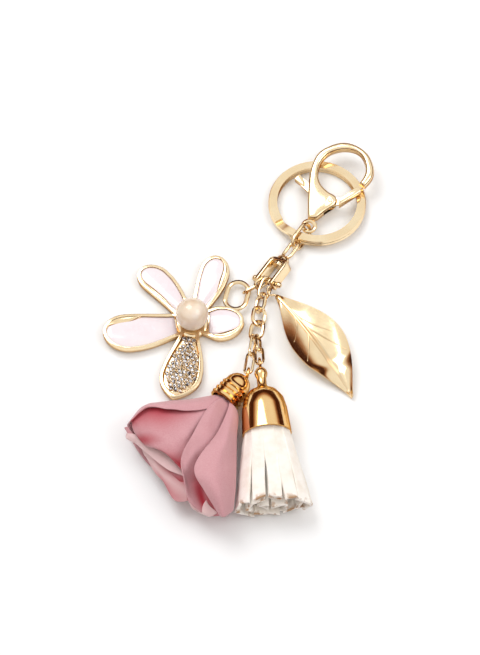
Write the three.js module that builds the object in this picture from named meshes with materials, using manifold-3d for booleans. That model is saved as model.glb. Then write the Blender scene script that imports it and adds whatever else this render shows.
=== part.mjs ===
// Key ring charm: a split ring and a lobster clasp on a jump ring, a swivel shackle,
// and four pendants on its pin: an enamel flower, a leaf, a rose tassel and a suede tassel.
// Millimetres. The charm lies on the plane z = 0; +X is across it and +Y runs along it.
import * as THREE from 'three';
import { mergeVertices } from 'three/addons/utils/BufferGeometryUtils.js';
import Module from 'manifold-3d';

const wasm = await Module();
wasm.setup();

// ---- driving dimensions ----------------------------------------------------
const SPLIT_RING = { outer: 16, band: 2.9, coil: 1.25, gap: 0.12, tilt: 3, centre: [25.3, 44.6, 2.24] };
const CONNECTOR = {
  centre: [19.99, 31.64, 3.1],
  heading: 57,
  halfLength: 4.6,
  halfWidth: 2.6,
  wire: 0.6,
  roll: 30,
};
const CLASP = { eye: [22.5, 35.5, 3.2], thickness: 3.4, rise: 4.5, roll: -5, slot: 1.8, web: 1.1 };
const SWIVEL = { collar: [13.35, 21.75, 3.5], heading: 56, roll: 27, stem: 0.8, bore: 1.2, head: 2.1 };
const SHACKLE = { width: 7.4, depth: 4, strap: 1.2, length: 8.3, pin: 0.5, knob: 1.05 };
const CHAIN_WIRE = 0.6;
const RING_WIRE = 0.5;
const FLOWER_WIRE = 0.4;
const STRAND_WIRE = 0.44;
const FLOWER = {
  centre: [-15.3, 0.8, 0.1],
  plate: 1.1,
  rimHeight: 2.3,
  rimWidth: 0.95,
  pearl: 5.3,
  hub: 5.2,
  loopWire: 0.75,
};
const LEAF = { thickness: 0.7, length: 43, halfWidth: 8.3 };
const ROSE = { cap: [-1, -23.6, 5.6], heading: -128, capRadius: 4.2, collar: 6.9 };
const BELL = { knob: [6.6, -20.4, 7.9], heading: -85, rim: 7.8, knobRadius: 2.1 };
const EYELET = { radius: 1.6, wire: 0.45, reach: 1.45 };
const CLEARANCE = 0.3;
const LINK_SLACK = 0.25; // play between two threaded wires

const GOLD = { color: 0xe6c878, roughness: 0.22, metalness: 1 };
const WARM_GOLD = { color: 0xd9a050, roughness: 0.25, metalness: 1 };
const ENAMEL = { color: 0xf6ecef, roughness: 0.25, metalness: 0 };
const PEARL = { color: 0xfbebd7, roughness: 0.2, metalness: 0 };
const STONES = { color: 0xe8e4dc, roughness: 0.1, metalness: 0.3 };
const ROSE_CLOTH = { color: 0xd7a0a5, roughness: 0.8, metalness: 0 };
const SUEDE = { color: 0xfdf7eb, roughness: 0.95, metalness: 0 };

// ---- small helpers -----------------------------------------------------------
const radians = THREE.MathUtils.degToRad;
const vector = (list) => new THREE.Vector3(...list);
const heading = (degrees) => new THREE.Vector3(Math.cos(radians(degrees)), Math.sin(radians(degrees)), 0);
const UP = new THREE.Vector3(0, 0, 1);
const model = new THREE.Group();
model.position.y = 1.75; // puts the middle of the whole charm over the origin

function place(parent, name, geometry, look) {
  const mesh = new THREE.Mesh(geometry, new THREE.MeshStandardMaterial(look));
  mesh.name = name;
  parent.add(mesh);
  return mesh;
}

// A closed mesh, turned over if its corners came out facing inwards.
function geometryOf(positions, indices) {
  const corner = (i) => new THREE.Vector3().fromArray(positions, 3 * i);
  let volume = 0;
  for (let i = 0; i < indices.length; i += 3) {
    volume += corner(indices[i]).dot(corner(indices[i + 1]).cross(corner(indices[i + 2])));
  }
  if (volume < 0) indices.reverse();
  const geometry = new THREE.BufferGeometry();
  geometry.setAttribute('position', new THREE.Float32BufferAttribute(positions, 3));
  geometry.setIndex(indices);
  geometry.computeVertexNormals();
  return geometry;
}

function solidOf(geometry) {
  const bare = new THREE.BufferGeometry();
  bare.setAttribute('position', geometry.getAttribute('position').clone());
  if (geometry.index) bare.setIndex(geometry.index.clone());
  const merged = mergeVertices(bare, 1e-4);
  const vertProperties = Float32Array.from(merged.getAttribute('position').array);
  const triVerts = Uint32Array.from(merged.index.array);
  return new wasm.Manifold(new wasm.Mesh({ numProp: 3, vertProperties, triVerts }));
}

function geometryFrom(solid) {
  const mesh = solid.getMesh();
  return geometryOf(Array.from(mesh.vertProperties), Array.from(mesh.triVerts));
}

const join = (...parts) => geometryFrom(parts.map(solidOf).reduce((all, next) => all.add(next)));
const cut = (body, ...tools) =>
  geometryFrom(tools.map(solidOf).reduce((rest, tool) => rest.subtract(tool), solidOf(body)));

// A closed skin through rings of points; open stacks get a flat fan at each end.
function skin(rings, closedLoop = false) {
  const count = rings[0].length;
  const positions = rings.flat().flatMap((p) => [p.x, p.y, p.z]);
  const indices = [];
  const last = closedLoop ? rings.length : rings.length - 1;
  for (let i = 0; i < last; i += 1) {
    const next = (i + 1) % rings.length;
    for (let j = 0; j < count; j += 1) {
      const k = (j + 1) % count;
      indices.push(i * count + j, i * count + k, next * count + k);
      indices.push(i * count + j, next * count + k, next * count + j);
    }
  }
  if (!closedLoop) {
    for (const [ring, flip] of [[0, true], [rings.length - 1, false]]) {
      const middle = rings[ring].reduce((sum, p) => sum.add(p), new THREE.Vector3()).divideScalar(count);
      const hub = positions.length / 3;
      positions.push(middle.x, middle.y, middle.z);
      for (let j = 0; j < count; j += 1) {
        const a = ring * count + j;
        const b = ring * count + ((j + 1) % count);
        indices.push(hub, flip ? b : a, flip ? a : b);
      }
    }
  }
  return geometryOf(positions, indices);
}

// Round wire along a closed flat stadium: straight sides of a link joined by half circles.
function stadiumLink(halfLength, halfWidth, wire, steps = 28, sides = 8) {
  const straight = halfLength - halfWidth;
  const total = 4 * straight + 2 * Math.PI * halfWidth;
  const rings = [];
  for (let i = 0; i < steps; i += 1) {
    let s = (i / steps) * total;
    let angle;
    let shift;
    if (s < Math.PI * halfWidth) {
      angle = -Math.PI / 2 + s / halfWidth;
      shift = straight;
    } else if (s < Math.PI * halfWidth + 2 * straight) {
      angle = Math.PI / 2;
      shift = straight - (s - Math.PI * halfWidth);
    } else if (s < 2 * Math.PI * halfWidth + 2 * straight) {
      s -= Math.PI * halfWidth + 2 * straight;
      angle = Math.PI / 2 + s / halfWidth;
      shift = -straight;
    } else {
      angle = -Math.PI / 2;
      shift = -straight + (s - 2 * Math.PI * halfWidth - 2 * straight);
    }
    const outward = new THREE.Vector3(Math.cos(angle), Math.sin(angle), 0);
    const centre = outward.clone().multiplyScalar(halfWidth).setX(outward.x * halfWidth + shift);
    rings.push(circle(centre, outward, UP, wire, wire, sides));
  }
  return skin(rings, true);
}

function circle(centre, across, upward, halfWidth, halfHeight, sides) {
  return Array.from({ length: sides }, (_, j) => {
    const turn = (2 * Math.PI * j) / sides;
    return centre.clone()
      .addScaledVector(across, halfWidth * Math.cos(turn))
      .addScaledVector(upward, halfHeight * Math.sin(turn));
  });
}

// Rotation that carries local +X to `along` and local +Z as near `normal` as it can.
function aim(along, normal) {
  const x = along.clone().normalize();
  const y = new THREE.Vector3().crossVectors(normal, x).normalize();
  const z = new THREE.Vector3().crossVectors(x, y);
  return new THREE.Matrix4().makeBasis(x, y, z);
}

function setPose(object, position, along, normal) {
  object.quaternion.setFromRotationMatrix(aim(along, normal));
  object.position.copy(position);
  return object;
}

// The side axis of something that points along `along` in the plane and is rolled about it.
function rolledNormal(along, roll) {
  return UP.clone().applyAxisAngle(along, radians(roll));
}

function lathe(profile, segments = 28) {
  return new THREE.LatheGeometry(profile.map(([r, y]) => new THREE.Vector2(r, y)), segments);
}
// A lathe stands along +Y; this lays its axis along +X.
const layAlongX = (geometry) => geometry.rotateZ(-Math.PI / 2);

function plate(shape, depth, bevel, curveSegments = 6, bevelSegments = 3) {
  const geometry = new THREE.ExtrudeGeometry(shape, {
    depth: depth - 2 * bevel,
    bevelEnabled: bevel > 0,
    bevelThickness: bevel,
    bevelSize: bevel,
    bevelOffset: -bevel,
    bevelSegments,
    curveSegments,
  });
  return geometry.translate(0, 0, bevel);
}

// A sheet of even thickness over surface(u, v), with u and v from 0 to 1.
function sheet(surface, thickness, across, along) {
  const top = [];
  const bottom = [];
  for (let i = 0; i <= along; i += 1) {
    for (let j = 0; j <= across; j += 1) {
      const p = surface(i / along, j / across);
      top.push(p);
      bottom.push(p.clone().setZ(p.z - thickness));
    }
  }
  const row = across + 1;
  const under = top.length;
  const indices = [];
  for (let i = 0; i < along; i += 1) {
    for (let j = 0; j < across; j += 1) {
      const a = i * row + j;
      indices.push(a, a + row, a + row + 1, a, a + row + 1, a + 1);
      indices.push(under + a, under + a + row + 1, under + a + row, under + a, under + a + 1, under + a + row + 1);
    }
  }
  const edge = [];
  for (let j = 0; j < across; j += 1) edge.push(j);
  for (let i = 0; i < along; i += 1) edge.push(i * row + across);
  for (let j = across; j > 0; j -= 1) edge.push(along * row + j);
  for (let i = along; i > 0; i -= 1) edge.push(i * row);
  edge.forEach((a, k) => {
    const b = edge[(k + 1) % edge.length];
    indices.push(a, b, under + b, a, under + b, under + a);
  });
  return geometryOf([...top, ...bottom].flatMap((p) => [p.x, p.y, p.z]), indices);
}

// ---- split ring: flat wire coiled almost twice, crossing over in one short ramp ---
function splitRingGeometry() {
  const { outer, band, coil, gap } = SPLIT_RING;
  const pitch = coil + gap;
  const edge = 0.3;
  const turns = 1.93;
  const rampStart = 0.93;
  const rampEnd = 1.0;
  const steps = 92;
  const startAngle = -125;
  const rings = [];
  for (let i = 0; i <= steps; i += 1) {
    const turn = (i / steps) * turns;
    const climb = THREE.MathUtils.smoothstep(turn, rampStart, rampEnd);
    const out = heading(startAngle + 360 * turn);
    const z = (climb - 0.5) * pitch;
    const corners = [
      [outer - band, -coil / 2],
      [outer - edge, -coil / 2],
      [outer, 0],
      [outer - edge, coil / 2],
      [outer - band, coil / 2],
    ];
    rings.push(corners.map(([r, h]) => out.clone().multiplyScalar(r).setZ(z + h)));
  }
  return skin(rings);
}

const ringGroup = new THREE.Group();
ringGroup.position.set(...SPLIT_RING.centre);
ringGroup.rotation.x = -radians(SPLIT_RING.tilt);
model.add(ringGroup);
place(ringGroup, 'split_ring', splitRingGeometry(), GOLD);

// ---- jump ring that holds the split ring, the clasp and the swivel ---------------
const connector = place(model, 'connector_ring',
  stadiumLink(CONNECTOR.halfLength, CONNECTOR.halfWidth, CONNECTOR.wire, 36, 10), GOLD);
const connectorAlong = heading(CONNECTOR.heading);
setPose(connector, vector(CONNECTOR.centre), connectorAlong, rolledNormal(connectorAlong, 90 - CONNECTOR.roll));

// ---- lobster clasp: body with eye and hook, sprung gate, rivet and spring --------
const claspGroup = new THREE.Group();
claspGroup.position.set(...CLASP.eye);
claspGroup.rotation.set(radians(CLASP.rise), radians(CLASP.roll), 0);
model.add(claspGroup);

const PIVOT = [7.1, 8.2];

function claspOutline() {
  const shape = new THREE.Shape();
  shape.moveTo(-0.3, 2.4);
  shape.splineThru([[-0.3, 8], [0, 14], [0.7, 20], [3, 25.4], [7, 28.2], [11.6, 29.3], [16, 28], [19.8, 24.6], [21.5, 19.6],
    [20.9, 16], [18.4, 12.9]].map((p) => new THREE.Vector2(...p)));
  shape.lineTo(16.7, 14.3);
  shape.splineThru([[18.3, 16.8], [18.9, 19.8], [17.7, 23.9], [15, 26.1], [11.2, 26.7], [7.2, 25.6], [4.4, 22.8],
    [3.2, 18.6], [4, 14.6], [6.4, 11.7], [8.6, 10.2], [9.4, 8.4], [8.4, 6.5], [5.4, 4.5], [2.6, 2.2]].map((p) => new THREE.Vector2(...p)));
  shape.closePath();
  return shape;
}

const eye = new THREE.TorusGeometry(1.95, 0.72, 8, 24);
const hookPlate = plate(claspOutline(), CLASP.thickness, 0.95, 3, 3).translate(0, 0, -CLASP.thickness / 2);
// The slot in the body leaves the gate's web its whole swing.
function gateSlotGeometry() {
  const [x, y] = PIVOT;
  const knuckle = new THREE.CylinderGeometry(4.7, 4.7, CLASP.slot, 28).rotateX(Math.PI / 2).translate(x, y, 0);
  const arc = Array.from({ length: 8 }, (_, i) => heading(124 + 10 * i).multiplyScalar(16));
  const sweep = new THREE.Shape([new THREE.Vector2(x, y), ...arc.map((p) => new THREE.Vector2(x + p.x, y + p.y))]);
  return join(knuckle, plate(sweep, CLASP.slot, 0).translate(0, 0, -CLASP.slot / 2));
}
const pivotBore = new THREE.CylinderGeometry(0.75, 0.75, 10, 16).rotateX(Math.PI / 2).translate(...PIVOT, 0);
place(claspGroup, 'clasp_body', cut(join(hookPlate, eye), gateSlotGeometry(), pivotBore), GOLD);

// The gate is a thick blade that closes the hook, with a thin web through the body to the thumb lever.
function gateGeometry() {
  const blade = new THREE.Shape();
  blade.moveTo(10.1, 9.2);
  blade.lineTo(15.8, 13.2);
  blade.quadraticCurveTo(17.1, 12.9, 17.3, 11.8);
  blade.lineTo(16.9, 11);
  blade.lineTo(9.9, 6.4);
  blade.closePath();
  const web = new THREE.Shape();
  web.moveTo(11.5, 9.4);
  web.lineTo(11, 7.4);
  web.lineTo(7.2, 6.7);
  web.lineTo(2.2, 9.8);
  web.lineTo(-1.4, 13.4);
  web.lineTo(-3.9, 16.2);
  web.lineTo(-2.2, 17.6);
  web.lineTo(0.8, 14.4);
  web.lineTo(3.6, 11.8);
  web.lineTo(7.4, 9.9);
  web.closePath();
  const thumb = new THREE.Shape();
  thumb.moveTo(-1.2, 14);
  thumb.quadraticCurveTo(-3, 14.9, -4.5, 16.6);
  thumb.quadraticCurveTo(-4.3, 18.2, -2.7, 18.4);
  thumb.quadraticCurveTo(-1.7, 17.2, -1.2, 15.6);
  thumb.closePath();
  const bladeDepth = 2.6;
  const bladeSolid = plate(blade, bladeDepth, 0.5, 4, 2).translate(0, 0, -bladeDepth / 2);
  const webSolid = plate(web, CLASP.web, 0).translate(0, 0, -CLASP.web / 2);
  const thumbSolid = plate(thumb, bladeDepth, 0.5, 4, 2).translate(0, 0, -bladeDepth / 2);
  return cut(join(bladeSolid, webSolid, thumbSolid), pivotBore);
}
place(claspGroup, 'clasp_gate', gateGeometry(), GOLD);

const rivetProfile = [[0, -1.85], [0.45, -1.85], [0.45, 1.85], [0, 1.85]];
const rivet = place(claspGroup, 'clasp_rivet', lathe(rivetProfile, 16), GOLD);
rivet.rotation.x = Math.PI / 2;
rivet.position.set(...PIVOT, 0);

// ---- swivel: loop on a domed head whose stem turns in the collar of the shackle --
const swivelAlong = heading(SWIVEL.heading);
const shackleNormal = rolledNormal(swivelAlong, -SWIVEL.roll);
const swivelGroup = setPose(new THREE.Group(), vector(SWIVEL.collar), swivelAlong, shackleNormal);
model.add(swivelGroup);

function swivelLoopGeometry() {
  const { stem, head } = SWIVEL;
  const loop = stadiumLink(3.35, 1.55, 0.58, 32, 10).translate(5.55, 0, 0);
  const collarHalf = SHACKLE.strap / 2 + CLEARANCE;
  const profile = [[0, -collarHalf - 1], [1.9, -collarHalf - 1], [1.9, -collarHalf], [stem, -collarHalf],
    [stem, collarHalf], [head, collarHalf], [head * 0.96, collarHalf + 0.6], [head * 0.7, collarHalf + 1.3], [0, collarHalf + 1.7]];
  return join(layAlongX(lathe(profile, 24)), loop);
}
place(swivelGroup, 'swivel_loop', swivelLoopGeometry(), GOLD);

function shackleGeometry() {
  const { width, depth, strap, length, pin } = SHACKLE;
  const half = width / 2;
  const armEnd = 1.15;
  const outline = new THREE.Shape();
  outline.moveTo(-length - armEnd, -half);
  outline.lineTo(-1.4, -half);
  outline.quadraticCurveTo(strap / 2, -half, strap / 2, -half + 2);
  outline.lineTo(strap / 2, half - 2);
  outline.quadraticCurveTo(strap / 2, half, -1.4, half);
  outline.lineTo(-length - armEnd, half);
  outline.lineTo(-length - armEnd, half - strap);
  outline.lineTo(-1.8, half - strap);
  outline.quadraticCurveTo(-strap / 2, half - strap, -strap / 2, half - strap - 1);
  outline.lineTo(-strap / 2, -half + strap + 1);
  outline.quadraticCurveTo(-strap / 2, -half + strap, -1.8, -half + strap);
  outline.lineTo(-length - armEnd, -half + strap);
  outline.closePath();
  const strapSolid = plate(outline, depth, 0.25, 6, 2).translate(0, 0, -depth / 2);
  const stemBore = new THREE.CylinderGeometry(SWIVEL.bore, SWIVEL.bore, 4, 20).rotateZ(Math.PI / 2);
  const pinBore = new THREE.CylinderGeometry(pin + CLEARANCE, pin + CLEARANCE, width + 2, 16).translate(-length, 0, 0);
  return cut(strapSolid, stemBore, pinBore);
}
place(swivelGroup, 'shackle', shackleGeometry(), GOLD);

function pinGeometry() {
  const { width, pin, knob } = SHACKLE;
  const end = width / 2 + CLEARANCE;
  const ball = Array.from({ length: 7 }, (_, i) => {
    const angle = (Math.PI * i) / 6;
    return [Math.max(knob * Math.sin(angle), 0), end + knob - knob * Math.cos(angle)];
  });
  const upper = ball.slice(1);
  upper[0] = [knob * 0.7, end];
  const lower = upper.map(([r, y]) => [r, -y]).reverse();
  return lathe([...lower, [pin, -end], [pin, end], ...upper], 20);
}
const shacklePin = place(swivelGroup, 'shackle_pin', pinGeometry(), GOLD);
shacklePin.position.x = -SHACKLE.length;

// ---- links ---------------------------------------------------------------------
const pinCentre = new THREE.Vector3(-SHACKLE.length, 0, 0).applyMatrix4(
  aim(swivelAlong, shackleNormal).setPosition(vector(SWIVEL.collar)));
const pinAlong = new THREE.Vector3().crossVectors(shackleNormal, swivelAlong).normalize().negate();

// A run of links from the centre of one wire to the centre of another, each threaded on the last.
function strand(name, { from, to, rolls, halfWidth, wire, firstGrip = 2 * wire + LINK_SLACK }) {
  const along = to.clone().sub(from);
  const grip = 2 * wire + LINK_SLACK;
  const count = rolls.length;
  const halfLength = (along.length() + firstGrip + (count - 1) * grip) / (2 * count);
  along.normalize();
  let end = from.clone();
  rolls.forEach((roll, i) => {
    const centre = end.clone().addScaledVector(along, halfLength - (i === 0 ? firstGrip : grip));
    const label = count > 1 ? `${name}_${i + 1}` : name;
    const link = place(model, label, stadiumLink(halfLength, halfWidth, wire, 22, 7), GOLD);
    setPose(link, centre, along, rolledNormal(along, roll));
    end = centre.addScaledVector(along, halfLength);
  });
}

const onPin = (shift) => pinCentre.clone().addScaledVector(pinAlong, shift);
const pinGrip = SHACKLE.pin + RING_WIRE + 0.3;
const SPLIT_POINT = new THREE.Vector3(5, -5.5, 2.5);
const chainRingEnd = new THREE.Vector3(6.9, 9.4, 2.5);

strand('chain_ring', {
  from: onPin(0.25),
  to: chainRingEnd,
  rolls: [-35],
  halfWidth: 2,
  wire: RING_WIRE,
  firstGrip: pinGrip,
});
strand('chain_link', {
  from: chainRingEnd,
  to: SPLIT_POINT,
  rolls: [55, -35, 30],
  halfWidth: 2.3,
  wire: CHAIN_WIRE,
});

// ---- flower: five rimmed petals on a hub, with enamel, stones and a pearl ---------
const PETALS = [
  { name: 'petal_upper_left', heading: 131, reach: 25.6, width: 9.6, neck: 5.4, lift: 3, bend: -1.2 },
  { name: 'petal_left', heading: 189, reach: 29, width: 13, neck: 7.6, lift: 3, bend: 1 },
  { name: 'petal_lower', heading: 257.5, reach: 28, width: 13.4, neck: 5.6, lift: 2, bend: 0.9, point: 1.5 },
  { name: 'petal_right', heading: -1, reach: 16.8, width: 12, neck: 8.2, lift: 5, bend: -0.4 },
  { name: 'petal_upper_right', heading: 69.5, reach: 25, width: 9.8, neck: 4.6, lift: 4, bend: -0.6 },
];
const flowerGroup = new THREE.Group();
flowerGroup.position.set(...FLOWER.centre);
model.add(flowerGroup);

// Petal outline along +X: it swells from the neck at the hub to a tip, shrunk by `inset`. Point 1 is a half-round tip.
function petalShape({ reach, width, neck, bend, point = 1 }, inset) {
  const root = 3.2;
  const widest = reach - width * 0.62;
  const flare = 5;
  const tip = 7;
  const half = width / 2 - inset;
  const edge = [];
  for (let i = 0; i < flare; i += 1) {
    const t = i / flare;
    const swell = Math.sin((Math.PI / 2) * t) ** 1.3;
    edge.push([root + inset + (widest - root - inset) * t, neck / 2 - inset + (half + inset - neck / 2) * swell]);
  }
  for (let i = 0; i <= tip; i += 1) {
    const angle = (Math.PI / 2) * (i / tip);
    edge.push([widest + (reach - inset - widest) * Math.sin(angle), half * Math.cos(angle) ** point]);
  }
  const sway = (x) => bend * Math.sin((Math.PI * (x - root)) / (reach - root));
  const right = edge.map(([x, y]) => new THREE.Vector2(x, sway(x) - Math.max(y, 0)));
  const left = edge.slice(0, -1).map(([x, y]) => new THREE.Vector2(x, sway(x) + y)).reverse();
  return new THREE.Shape([...right, ...left]);
}

function petalPose(petal) {
  return new THREE.Matrix4().makeRotationZ(radians(petal.heading))
    .multiply(new THREE.Matrix4().makeRotationY(-radians(petal.lift)));
}

// The flower hangs by an open loop between its right and upper right petals.
function hangingLoop(wire) {
  return stadiumLink(5, 3.4, wire, 28, 8).applyMatrix4(aim(heading(75), UP).setPosition(14.3, 9.6, 2.2));
}

function flowerFrameGeometry() {
  const { plate: floor, rimHeight, rimWidth, hub } = FLOWER;
  const hubDisc = lathe([[0, 0], [hub, 0], [hub, 1.8], [hub - 0.4, 2.1], [2.4, 2.1], [2.1, 2.6], [0, 2.6]], 32).rotateX(Math.PI / 2);
  const plates = PETALS.map((petal) => plate(petalShape(petal, 0), rimHeight, 0.3, 1, 2).applyMatrix4(petalPose(petal)));
  const pockets = PETALS.map((petal) => plate(petalShape(petal, rimWidth), rimHeight, 0, 1)
    .translate(0, 0, floor).applyMatrix4(petalPose(petal)));
  const loop = hangingLoop(FLOWER.loopWire);
  const body = cut(join(...plates), ...pockets);
  return join(body, hubDisc, loop);
}
place(flowerGroup, 'flower_frame', flowerFrameGeometry(), GOLD);

for (const petal of PETALS) {
  const stones = petal.name === 'petal_lower';
  const inset = FLOWER.rimWidth + CLEARANCE;
  const filling = plate(petalShape(petal, inset), stones ? 1.5 : 1.2, 0.3, 1, 2).translate(0, 0, FLOWER.plate + CLEARANCE);
  const hubClear = new THREE.CylinderGeometry(FLOWER.hub + CLEARANCE, FLOWER.hub + CLEARANCE, 12, 32).rotateX(Math.PI / 2);
  const shaped = filling.applyMatrix4(petalPose(petal));
  const name = stones ? 'pave_stones' : `enamel_${petal.name}`;
  place(flowerGroup, name, cut(shaped, hubClear, hangingLoop(FLOWER.loopWire + CLEARANCE)), stones ? STONES : ENAMEL);
}

const pearlProfile = Array.from({ length: 12 }, (_, i) => {
  const angle = radians(-158 + (158 * i) / 11);
  return [Math.max(-Math.sin(angle) * FLOWER.pearl, 0), Math.cos(angle) * FLOWER.pearl];
});
pearlProfile[11][0] = 0;
const pearl = place(flowerGroup, 'pearl', lathe([[0, pearlProfile[0][1]], ...pearlProfile], 24), PEARL);
pearl.rotation.x = Math.PI / 2;
pearl.position.z = 2.6 + CLEARANCE - pearlProfile[0][1];

const flowerJoint = new THREE.Vector3(4.9, 13.25, 2.9);
strand('flower_ring_1', {
  from: onPin(-1.15), to: flowerJoint, rolls: [-47], halfWidth: 1.35, wire: FLOWER_WIRE, firstGrip: pinGrip });
strand('flower_ring_2', {
  from: flowerJoint, to: new THREE.Vector3(1.1, 11.5, 1.9), rolls: [73], halfWidth: 1.35, wire: FLOWER_WIRE });

// ---- leaf: a curved sheet with a raised midrib and a hanging eye ------------------
const leafGroup = setPose(new THREE.Group(), new THREE.Vector3(11.6, 10.2, 2.6), new THREE.Vector3(0.57, -0.82, 0), UP);
model.add(leafGroup);

function leafSurface(u, v) {
  const across = 2 * v - 1;
  const fullness = Math.sin(Math.PI * Math.pow(u, across > 0 ? 0.8 : 1.05)) ** 0.85;
  const half = LEAF.halfWidth * fullness + 0.35;
  const sway = 1.1 * Math.sin(Math.PI * 1.2 * u);
  const cup = 2.6 * Math.abs(across) ** 1.6 * fullness;
  const wave = 0.7 * Math.sin(7 * u + 1.5 * across) * Math.abs(across);
  const arch = 1.4 * Math.sin(Math.PI * u) - 1.2 * u;
  return new THREE.Vector3(LEAF.length * u, across * half + sway, cup + wave + arch);
}

// The stem runs back from the blade, under the end of the shackle's arm, and curls round the pin.
function leafStemGeometry() {
  leafGroup.updateMatrix();
  const pinPoint = onPin(1.95);
  const backwards = swivelAlong.clone().negate();
  const curl = Array.from({ length: 10 }, (_, i) => {
    const angle = radians(20 + 36 * i);
    return pinPoint.clone()
      .addScaledVector(backwards, 1.35 * Math.cos(angle))
      .addScaledVector(shackleNormal, 1.35 * Math.sin(angle))
      .addScaledVector(pinAlong, -0.2 + 0.03 * i);
  });
  const run = [pinPoint.clone().addScaledVector(backwards, 2.3).addScaledVector(UP, -0.7), new THREE.Vector3(9.6, 10.5, 2.6)];
  const route = [...curl, ...run, new THREE.Vector3(11.6, 10.2, 2.6), new THREE.Vector3(13.4, 7.6, 2.8)];
  const path = new THREE.CatmullRomCurve3(route);
  const section = new THREE.Shape().absarc(0, 0, 0.36, 0, 2 * Math.PI);
  const tube = new THREE.ExtrudeGeometry(section, { steps: 32, curveSegments: 3, extrudePath: path });
  return tube.applyMatrix4(leafGroup.matrix.clone().invert());
}
place(leafGroup, 'leaf', join(sheet(leafSurface, LEAF.thickness, 10, 20), leafStemGeometry()), GOLD);

// ---- rose tassel: a domed cap with ribbed collar over gathered petals --------------
const roseAlong = heading(ROSE.heading);
const roseGroup = setPose(new THREE.Group(), vector(ROSE.cap), roseAlong, UP);
model.add(roseGroup);

function roseCapGeometry() {
  const { capRadius: r, collar } = ROSE;
  const dome = Array.from({ length: 7 }, (_, i) => {
    const angle = (Math.PI / 2) * (i / 6);
    return [r * Math.sin(angle), -r * Math.cos(angle)];
  });
  const ribs = [[r + 0.1, 0.6], [r + 0.5, 1.2], [r + 0.1, 1.8], [r + 0.6, 2.6], [r + 0.2, 3.4], [r + 0.8, 4.2], [r + 0.3, 5],
    [r + 0.9, 5.8], [r + 0.5, 6.5], [r + 0.7, collar]];
  const profile = [...dome, ...ribs, [r - 0.1, collar], [r - 0.8, collar - 2.4], [r - 0.8, 1], [0, 1]];
  profile[0][0] = 0;
  const eyelet = new THREE.TorusGeometry(EYELET.radius, EYELET.wire, 7, 16).rotateX(Math.PI / 2).rotateZ(radians(26)).translate(-r - EYELET.reach, 0, 0);
  return join(layAlongX(lathe(profile, 22)), eyelet);
}
place(roseGroup, 'rose_cap', roseCapGeometry(), WARM_GOLD);

// Rings of the gathered bloom: distance along the axis, half width and half height.
const BLOOM = [[1.4, 2.9, 2.9], [5, 3, 3], [7.6, 3.6, 3.6], [11, 9, 5.6], [17.5, 14.8, 7.8], [25.5, 18.8, 9.2], [33.5, 21, 10.4]];
const bloomRing = ([along, halfWidth, halfHeight]) => {
  const beyond = Math.max(along - 5, 0);
  const centre = new THREE.Vector3(along, 0.08 * beyond, 0.19 * beyond);
  const ring = circle(centre, new THREE.Vector3(0, 1, 0), UP, halfWidth, halfHeight, 20);
  const lean = along > 10 ? 0.22 : 0;
  return ring.map((p) => p.setX(p.x + lean * (p.y - centre.y)));
};
place(roseGroup, 'rose_bloom', skin(BLOOM.map(bloomRing)), ROSE_CLOTH);

// ---- suede tassel: a bell cap with a knob over a skirt of strips -------------------
const bellAlong = heading(BELL.heading);
const bellGroup = setPose(new THREE.Group(), vector(BELL.knob), bellAlong, UP);
model.add(bellGroup);

function bellCapGeometry() {
  const knob = BELL.knobRadius;
  const outside = [[0, -knob], [1.2, -1.8], [1.9, -0.9], [knob, 0], [1.9, 0.9], [1.5, 1.6], [1.5, 4.2], [2.1, 5.2],
    [4.6, 6.6], [6.4, 9.2], [7.2, 12.8], [7.5, 17], [BELL.rim, 20.4], [BELL.rim, 21.2]];
  const inside = [[7.1, 21.2], [6.7, 16.5], [6.3, 12.8], [5.4, 9.8], [3.8, 7.8], [0, 7.4]];
  const eyelet = new THREE.TorusGeometry(EYELET.radius, EYELET.wire, 7, 16).rotateX(Math.PI / 2).translate(-knob - EYELET.reach, 0, 0);
  return join(layAlongX(lathe([...outside, ...inside], 24)), eyelet);
}
place(bellGroup, 'bell_cap', bellCapGeometry(), WARM_GOLD);

const skirtRings = [[9.2, 3.8, 3.8], [12.8, 5.6, 5.6], [17, 6.1, 6.1], [21.5, 6.7, 6.6], [30, 8.2, 6.4], [47, 10.8, 6.4]];
const skirt = skin(skirtRings.map(([along, halfWidth, halfHeight]) => circle(
  new THREE.Vector3(along, 0, along > 25 ? -0.028 * along : 0), new THREE.Vector3(0, 1, 0), UP, halfWidth, halfHeight, 20)));
place(bellGroup, 'suede_skirt', skirt, SUEDE);

// ---- the two strands that carry the tassels ----------------------------------------
function eyeletOf(group, back) {
  group.updateMatrix();
  return new THREE.Vector3(-back, 0, 0).applyMatrix4(group.matrix);
}
strand('left_strand_link', {
  from: SPLIT_POINT.clone().add(new THREE.Vector3(-0.55, 0.5, -0.25)), to: eyeletOf(roseGroup, ROSE.capRadius + EYELET.reach),
  rolls: [-60, 15], halfWidth: 1.25, wire: STRAND_WIRE });
strand('right_strand_link', {
  from: SPLIT_POINT.clone().add(new THREE.Vector3(0.78, 0.2, 0.4)), to: eyeletOf(bellGroup, BELL.knobRadius + EYELET.reach),
  rolls: [-60, 15], halfWidth: 1.25, wire: STRAND_WIRE });

export default model;
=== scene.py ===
"""Looks for the key ring bag charm: gold findings, enamel flower, leaf, fabric rose and suede tassel.

Lengths in the tables below are millimetres in each charm's own axes; MM turns them into metres.
"""
import math
import random

import bpy
from mathutils import Matrix, Vector, noise


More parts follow.
